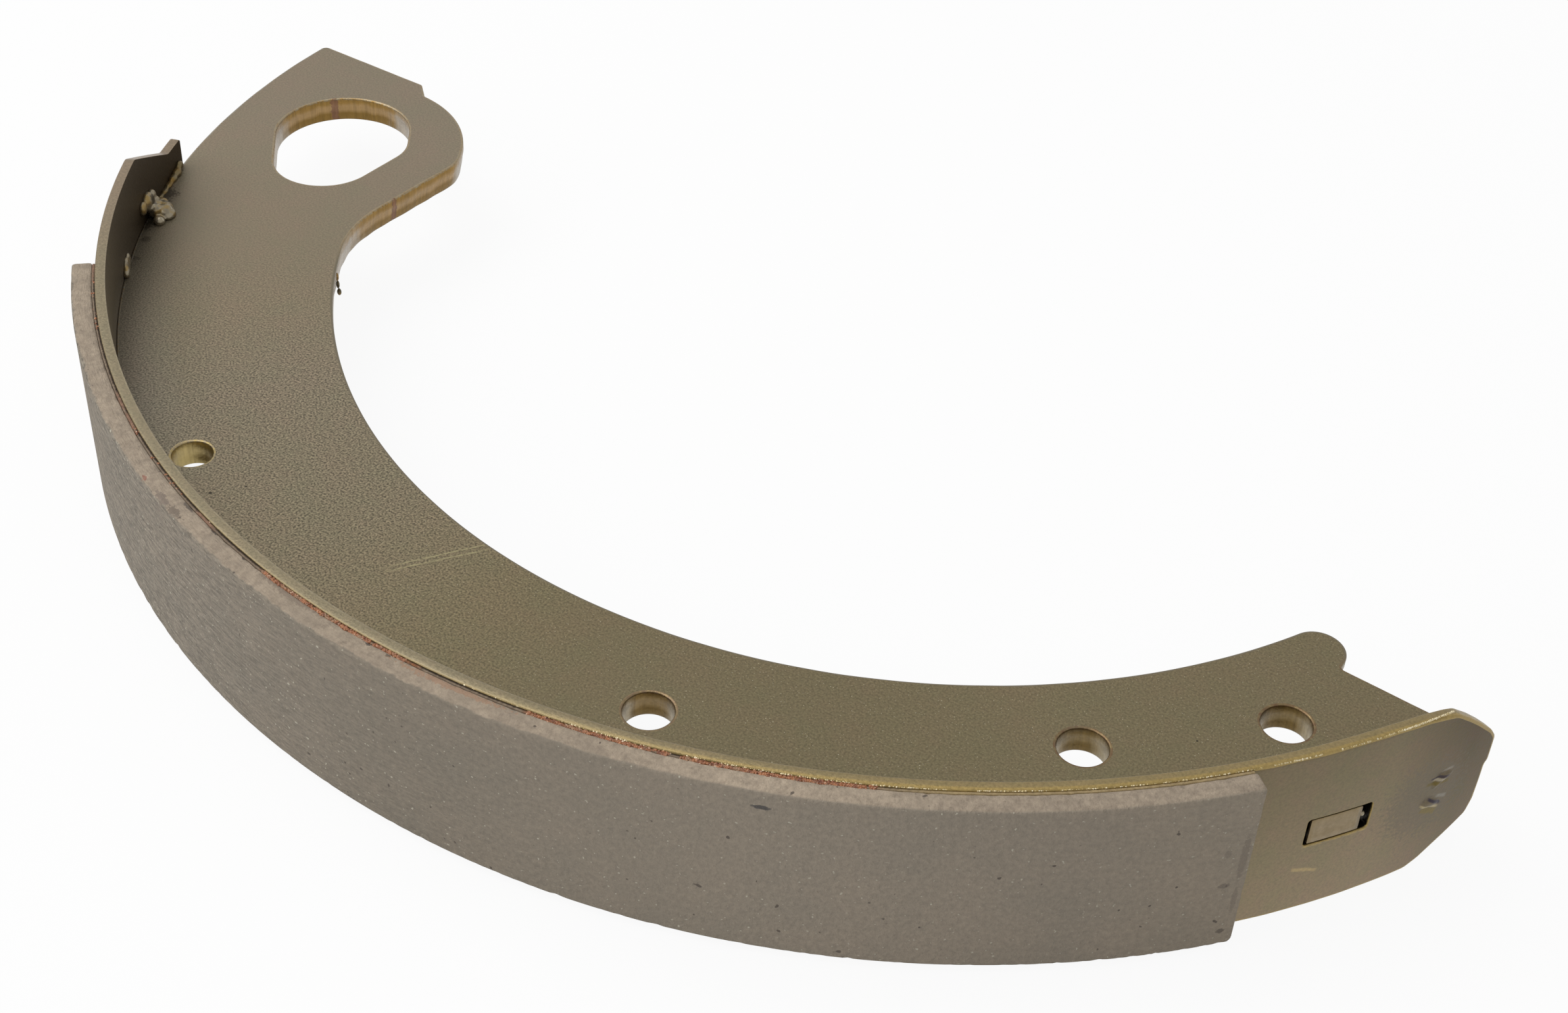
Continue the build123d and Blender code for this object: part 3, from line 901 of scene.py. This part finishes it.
lining_compound, place, radius, angle, height = new_finish("lining_compound")
heelward = fade(angle, 22.0, -20.0)
round_drum = joined(times(angle, lining_pitch), height, radius)
below_face = calc("SUBTRACT", lining_outside, radius)
past_side = calc("MAXIMUM", calc("SUBTRACT", height, lining_head), calc("SUBTRACT", lining_foot, height))
past_end = calc("MAXIMUM", calc("SUBTRACT", angle, lining_toe), calc("SUBTRACT", lining_heel, angle))
past_side = calc("ADD", past_side, below_face)
past_edge = calc("MAXIMUM", past_side, calc("ADD", times(past_end, lining_face_pitch), below_face))
frayed = swing(grain(round_drum, 330.0, 4.0, 0.6), 1.0)
frayed = times(frayed, fade(heelward, 0.0, 0.6, 0.00010, 0.00050))
on_face = fade(calc("ADD", past_edge, frayed), 0.00045, 0.0)
specks = grain(round_drum, 950.0, 3.0, 0.65)
streaks = grain(stretched(round_drum, (0.20, 1.0, 1.0), (0.0, 0.0, 0.20)), 2500.0, 2.0, 0.55)
face = blend(heelward, lining_face_tone, lining_heel_tone)
grit = grain(round_drum, 2300.0, 2.0, 0.7)
brushed = calc("ADD", swing(streaks, 0.62), swing(grit, 0.38))
shade = times(swing(specks, 1.0), calc("SUBTRACT", 1.0, heelward))
shade = calc("ADD", times(brushed, heelward), shade)
contrast = times(shade, fade(angle, 14.0, -26.0, 0.14, 0.66))
face = blend(1.0, face, calc("ADD", contrast, 1.0), "MULTIPLY")
patchy = fade(grain(round_drum, 60.0, 3.0), 0.35, 0.65)
face = tinted(patchy, face, (0.92, 0.94, 0.95))
face = tinted(within(angle, -18.0, -3.0, 2.0, 22.0), face, (0.88, 0.88, 0.87))
face = tinted(fade(angle, 38.0, 47.0), face, (1.09, 1.08, 1.06))
sand = grain(round_drum, 750.0, 4.0, 0.7)
side = speckled(lining_side_tone, sand, (0.74, 0.72, 0.71), (1.28, 1.26, 1.24))
dust = fade(grain(round_drum, 150.0, 3.0), 0.50, 0.66, 0.0, 0.36)
side = blend(dust, side, (0.245, 0.200, 0.150))
side = tinted(within(angle, 12.0, 18.0, 24.0, 31.0), side, (1.14, 1.14, 1.14))
tone = blend(on_face, side, face)
white_bits = calc("ADD", grain(round_drum, 1450.0, 1.0, 0.4), fade(angle, 4.0, -16.0, 0.0, 0.025))
white_bits = fade(white_bits, 0.72, 0.77, 0.0, 0.85)
tone = blend(times(white_bits, on_face), tone, (0.42, 0.39, 0.31))
dark_bits = fade(grain(place, 640.0, 1.0, 0.4), 0.235, 0.205, 0.0, 0.8)
tone = blend(dark_bits, tone, (0.060, 0.046, 0.036))
# Stains, and painted shade in notches along the top edge.
for (where, level, deep), size, colour, share in lining_stains_and_shade:
    ragged = 0.8 if level > 19 else 0.35
    spot = stain(round_drum, (where * 1000 * lining_pitch, level, deep), size, ragged)
    tone = blend(times(spot, share), tone, colour)
relief = calc("ADD", times(shade, 0.5), times(sand, 0.7))
lay_finish(tone, fade(specks, 0.3, 0.7, 0.78, 0.92), metal=0.0, relief=relief, lift=0.00014)

lining = grown("lining", curved_block, {
    "Inside radius": lining_inside, "Thickness": lining_outside - lining_inside, "Foot": lining_foot,
    "Width": lining_head - lining_foot, "Heel angle": lining_heel, "Toe angle": lining_toe,
    "Edge round": 0.00055, "Chip depth": 0.00055, "Chip scale": 420.0, "Worn corner": 0.0014,
    "Finish": lining_compound,
})
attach(lining, "root")
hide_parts("friction_lining")

# Adhesive: the thin rust-red film that bonds the lining to the rim, cured under pressure in an oven.
# It squeezed out along the joint here and there, and set as a row of small beads and crumbs.

bond_inside = 0.1731
bond_outside = 0.1737
bond_foot = -0.01785
bond_head = 0.01918
bond_heel = -48.07
bond_toe = 47.47
squeezed_radius = 0.17345
squeezed_height = 0.01905
# Runs of rust: angle of the middle and half the length, in degrees.
rust_runs = ((-48.2, 1.6), (-30.8, 1.8), (-18.4, 0.7), (-6.2, 6.0), (17.0, 9.6))

adhesive, place, radius, angle, height = new_finish("adhesive_film")
crumb = grain(place, 1500.0, 3.0)
dark = fade(crumb, 0.3, 0.7)
tone = blend(dark, (0.016, 0.010, 0.006), (0.060, 0.036, 0.020))
rosin = calc("ADD", radius, times(crumb, 0.0003))
rosin = fade(rosin, bond_inside + 0.00035, bond_inside + 0.00052)
tone = blend(rosin, tone, blend(dark, (0.130, 0.092, 0.062), (0.240, 0.185, 0.130)))
rusty = 0.0
for middle, reach in rust_runs:
    away = calc("ABSOLUTE", calc("SUBTRACT", angle, middle))
    rusty = calc("MAXIMUM", rusty, fade(away, reach + 0.6, reach))
rusty = times(rusty, fade(grain(place, 260.0, 4.0), 0.34, 0.48))
rust = blend(dark, (0.140, 0.052, 0.020), (0.330, 0.140, 0.058))
heel_rust = blend(dark, (0.140, 0.080, 0.052), (0.290, 0.170, 0.110))
tone = blend(rusty, tone, blend(fade(angle, -8.0, -16.0), rust, heel_rust))
# Golden towards the toe, and painted lighter than the film's own colour against the shade of its recess:
# partly painted light.
tone = blend(fade(angle, 26.0, 30.0), tone, blend(dark, (0.230, 0.165, 0.080), (0.360, 0.270, 0.140)))
lay_finish(tone, rough=0.95, metal=0.0, relief=crumb, lift=0.0001)

film = grown("adhesive_film", curved_block, {
    "Inside radius": bond_inside, "Thickness": bond_outside - bond_inside, "Foot": bond_foot,
    "Width": bond_head - bond_foot, "Heel angle": bond_heel, "Toe angle": bond_toe,
    "Edge round": 0.00012, "Chip depth": 0.0, "Worn corner": 0.0005, "Points across": 12,
    "Points deep": 4, "Points along": 240, "Finish": adhesive,
})
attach(film, "root")
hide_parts("bond_layer")

crumb_row = tree = bpy.data.node_groups.new("crumb_row", "GeometryNodeTree")
given = add_inputs(tree, {
    "Radius": 0.1734, "Height": 0.019, "Heel angle": -10.0, "Toe angle": 10.0, "Count": 400,
    "Smallest": 0.0001, "Largest": 0.0003, "Scatter in": 0.0003, "Scatter up": 0.0003,
    "Patchy": 0.5, "Seed": 1, "Finish": None,
})


def chance(low, high, salt):
    """Random number for each crumb, from the row's seed."""
    inputs = {"Min": low, "Max": high, "Seed": calc("ADD", given["Seed"], salt)}
    return step(tree, "FunctionNodeRandomValue", inputs).node.outputs[1]


def either_way(reach, salt):
    return times(calc("ADD", chance(-0.5, 0.5, salt), chance(-0.5, 0.5, salt + 50)), reach)


crumbs = step(tree, "GeometryNodePoints", {"Count": given["Count"]})
ends = [calc("RADIANS", given[end]) for end in ("Heel angle", "Toe angle")]
turned = fade(chance(0.0, 1.0, 1), 0.0, 1.0, *ends)
deep = calc("ADD", given["Radius"], either_way(given["Scatter in"], 2))
spot = drum_place(deep, turned, calc("ADD", given["Height"], either_way(given["Scatter up"], 3)))
crumbs = step(tree, "GeometryNodeSetPosition", {"Geometry": crumbs, "Position": spot})
thick = grain(step(tree, "GeometryNodeInputPosition"), 260.0, 3.0)
bare = step(tree, "FunctionNodeCompare", {0: thick, 1: given["Patchy"]}, operation="LESS_THAN")
crumbs = step(tree, "GeometryNodeDeleteGeometry", {"Geometry": crumbs, "Selection": bare})
ball = step(tree, "GeometryNodeMeshIcoSphere", {"Radius": 1.0, "Subdivisions": 2})
ball = step(tree, "GeometryNodeSetShadeSmooth", {"Geometry": ball})
share = calc("POWER", chance(0.0, 1.0, 4), 2.0)
size = fade(share, 0.0, 1.0, given["Smallest"], given["Largest"])
crumbs = step(tree, "GeometryNodeInstanceOnPoints", {"Points": crumbs, "Instance": ball, "Scale": size})
hand_over(crumbs, given["Finish"])

squeezed, place, *_ = new_finish("adhesive_squeezed_out")
crumb = grain(place, 1100.0, 2.0)
tone = blend(fade(crumb, 0.3, 0.7), (0.130, 0.038, 0.016), (0.420, 0.170, 0.070))
tone = blend(fade(grain(place, 500.0, 2.0), 0.52, 0.66, 0.0, 0.7), tone, (0.300, 0.190, 0.110))
tone = blend(fade(grain(place, 1700.0, 1.0), 0.66, 0.72), tone, (0.66, 0.50, 0.36))
lay_finish(tone, rough=0.38, metal=0.0, relief=crumb, lift=0.0001)

# Rows of crumbs: name, first and last angle, how many, and how patchy.
squeeze_out = (
    ("heel", -12.4, -0.8, 1800, 0.40), ("middle", 7.2, 26.8, 2600, 0.37),
    ("heel_bits", -47.5, -18.0, 420, 0.57),
)
for number, (name, start, end, count, patchy) in enumerate(squeeze_out):
    crumbs = grown("squeezed_adhesive_" + name, crumb_row, {
        "Radius": squeezed_radius, "Height": squeezed_height, "Heel angle": start, "Toe angle": end,
        "Count": count, "Smallest": 0.00009, "Largest": 0.00030, "Scatter in": 0.00050,
        "Scatter up": 0.00015, "Patchy": patchy, "Seed": 11 * number, "Finish": squeezed,
    })
    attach(crumbs, "root")

# Burr on the rim: the fine row that the blanking die left on the strip's outer edge towards the toe. It is
# part of the rim, plated with it, and stands up from the edge as small beads, coloured near white as
# painted glints.

burr_radius = 0.17290
burr_height = 0.01924
burr_end = 60.5

glinting_burr, place, *_ = new_finish("glinting_burr")
# Gold to near-white patches: the near-white is a painted glint.
worn = grain(place, 900.0, 2.0)
tone = blend(fade(worn, 0.35, 0.65), (0.420, 0.320, 0.130), (0.700, 0.620, 0.440))
lay_finish(tone, rough=0.3, metal=0.8, relief=worn, lift=0.00005)
for name, start, count, smallest, largest, seed in (
    ("rim_burr", 3.0, 820, 0.00008, 0.00020, 71), ("rim_burr_drops", 9.0, 210, 0.00017, 0.00023, 83),
    ("rim_burr_toe", 26.0, 900, 0.00009, 0.00019, 97),
):
    burr = grown(name, crumb_row, {
        "Radius": burr_radius, "Height": burr_height, "Heel angle": start, "Toe angle": burr_end,
        "Count": count, "Smallest": smallest, "Largest": largest, "Scatter in": 0.00010,
        "Scatter up": 0.00002, "Patchy": 0.42, "Seed": seed, "Finish": glinting_burr,
    })
    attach(burr, "root")

# Weld beads: short arc welds that tie the web to the rim, laid by hand and cut short. The large one
# at the heel sits in the corner like a saddle, with a thin one beside the tongue and a stray drop.

bead_tone = (0.280, 0.240, 0.170)
bead_crevice_shade = (-62.7, 169.6, 7.3)

bead_steel, place, radius, angle, height = new_finish("weld_bead")
wave = grain(place, 420.0, 3.0)
tone = blend(fade(wave, 0.48, 0.62), bead_tone, (0.290, 0.200, 0.075))
# Pale patches: painted highlights on the bead.
tone = blend(fade(grain(place, 900.0, 2.0), 0.62, 0.74), tone, (0.50, 0.46, 0.36))
# Dark patches by noise: painted shade standing in for the bead's crevices.
tone = blend(fade(grain(place, 260.0, 2.0), 0.40, 0.30, 0.0, 0.5), tone, (0.110, 0.090, 0.060))
# Painted shade: a dark spot in the hollow between the saddle bead's lobes.
pit = stain(place, on_drum(*bead_crevice_shade), (1.0, 1.0, 1.3), 0.3)
tone = blend(times(pit, 0.85), tone, (0.050, 0.040, 0.024))
tone = tinted(fade(angle, -64.9, -65.3), tone, (0.60, 0.54, 0.38))
relief = grain(place, 1300.0, 3.0)
lay_finish(tone, fade(wave, 0.3, 0.7, 0.26, 0.42), metal=0.8, relief=relief, lift=0.0001)


def in_corner(angle, off_rim, above):
    """Place at an angle, from its distances in mm inside the rim and above the web's middle."""
    return Vector(on_drum(angle, rim_inside - off_rim / 1000, above / 1000))


def bead(name, drops, voxel=0.00022, finish=bead_steel):
    """One lumpy bead grown together from drops. Each has an angle, a distance off the rim, a height,
    and its half sizes along the joint, off the rim and upwards, in mm."""
    shell = bmesh.new()
    for angle, off_rim, above, halves in drops:
        size = Matrix.Diagonal((*(half / 1000 for half in halves), 1.0))
        turned = Matrix.Rotation(radians(angle), 4, "Z") @ size
        at = Matrix.Translation(in_corner(angle, off_rim, above)) @ turned
        bmesh.ops.create_icosphere(shell, subdivisions=4, radius=1.0, matrix=at)
    piece = add_piece(name, shell, (finish,))
    melt = piece.modifiers.new("melt", "REMESH")
    melt.mode = "VOXEL"
    melt.voxel_size = voxel
    melt.use_smooth_shade = True
    piece.modifiers.new("flow", "SMOOTH").iterations = 12
    for v in settled(piece).data.vertices:
        v.co += v.normal * 0.00010 * noise.noise(v.co * 700)
    return piece


saddle_drops = (
    (-62.6, 0.4, 6.8, (2.4, 1.4, 2.2)), (-61.5, 0.3, 7.0, (1.6, 0.9, 1.6)),
    (-63.5, 0.5, 7.1, (1.3, 1.0, 1.2)), (-63.4, 0.9, 5.3, (1.8, 1.5, 1.3)),
    (-62.7, 1.6, 4.4, (1.9, 1.6, 1.5)), (-63.2, 2.9, 3.5, (3.1, 2.4, 1.9)),
    (-63.0, 3.4, 4.4, (2.3, 1.7, 1.0)), (-61.8, 3.2, 3.4, (1.2, 1.4, 1.2)),
    (-64.2, 1.8, 3.7, (1.5, 1.6, 1.2)), (-62.9, 4.6, 3.4, (2.2, 1.4, 1.1)),
    (-62.5, 2.2, 5.2, (1.5, 1.3, 1.2)),
)
tip_drops = (
    (-69.5, 0.3, 3.9, (1.4, 0.9, 1.2)), (-68.7, 0.6, 3.4, (1.7, 1.1, 1.0)),
    (-67.9, 0.6, 3.2, (1.7, 1.0, 0.9)), (-67.1, 0.5, 3.0, (1.8, 0.9, 0.7)),
    (-66.2, 0.4, 2.9, (1.8, 0.8, 0.6)), (-65.4, 0.3, 2.9, (1.4, 0.7, 0.5)),
)
stray_drops = (
    (-55.3, 0.2, 4.3, (1.8, 0.8, 1.8)), (-54.7, 0.4, 3.5, (1.5, 0.9, 1.2)),
    (-56.0, 0.2, 4.8, (1.0, 0.7, 1.3)),
)
slot_drops = ((55.8, -1.3, 0.1, (0.6, 0.5, 0.6)),)
tacks = [(angle, side) for side in (-1, 1) for angle in (-30, 0, 30, 61)] + [(-60, -1)]
tack_drops = [
    (angle + 0.6 * part, 0.7, side * 3.4, (1.5, 1.7 - 0.2 * abs(part), 1.9 - 0.2 * abs(part)))
    for angle, side in tacks for part in range(-2, 3)
]
beads = [
    bead("saddle_bead", saddle_drops), bead("tip_bead", tip_drops), bead("stray_drop", stray_drops),
    bead("slot_drop", slot_drops, voxel=0.00012), bead("tack_beads", tack_drops, voxel=0.0003),
]
for piece in beads:
    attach(piece, "root")
    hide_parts("weld_beads")

# Burr on the web: a thin flap of torn steel that the punch left standing on the inner arc near the eye. It
# is part of the plate and plated with it. A painted shadow on the cut finish darkens it and the wall beside
# it.

burr_drops = (
    (-54.85, 45.3, -1.7, (0.40, 0.50, 0.95)), (-55.3, 45.05, -0.5, (0.32, 0.42, 1.1)),
    (-55.8, 44.85, 0.7, (0.28, 0.36, 1.2)),
)
arc_burr = bead("arc_burr", burr_drops, voxel=0.00012, finish=web_cut)
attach(arc_burr, "root")
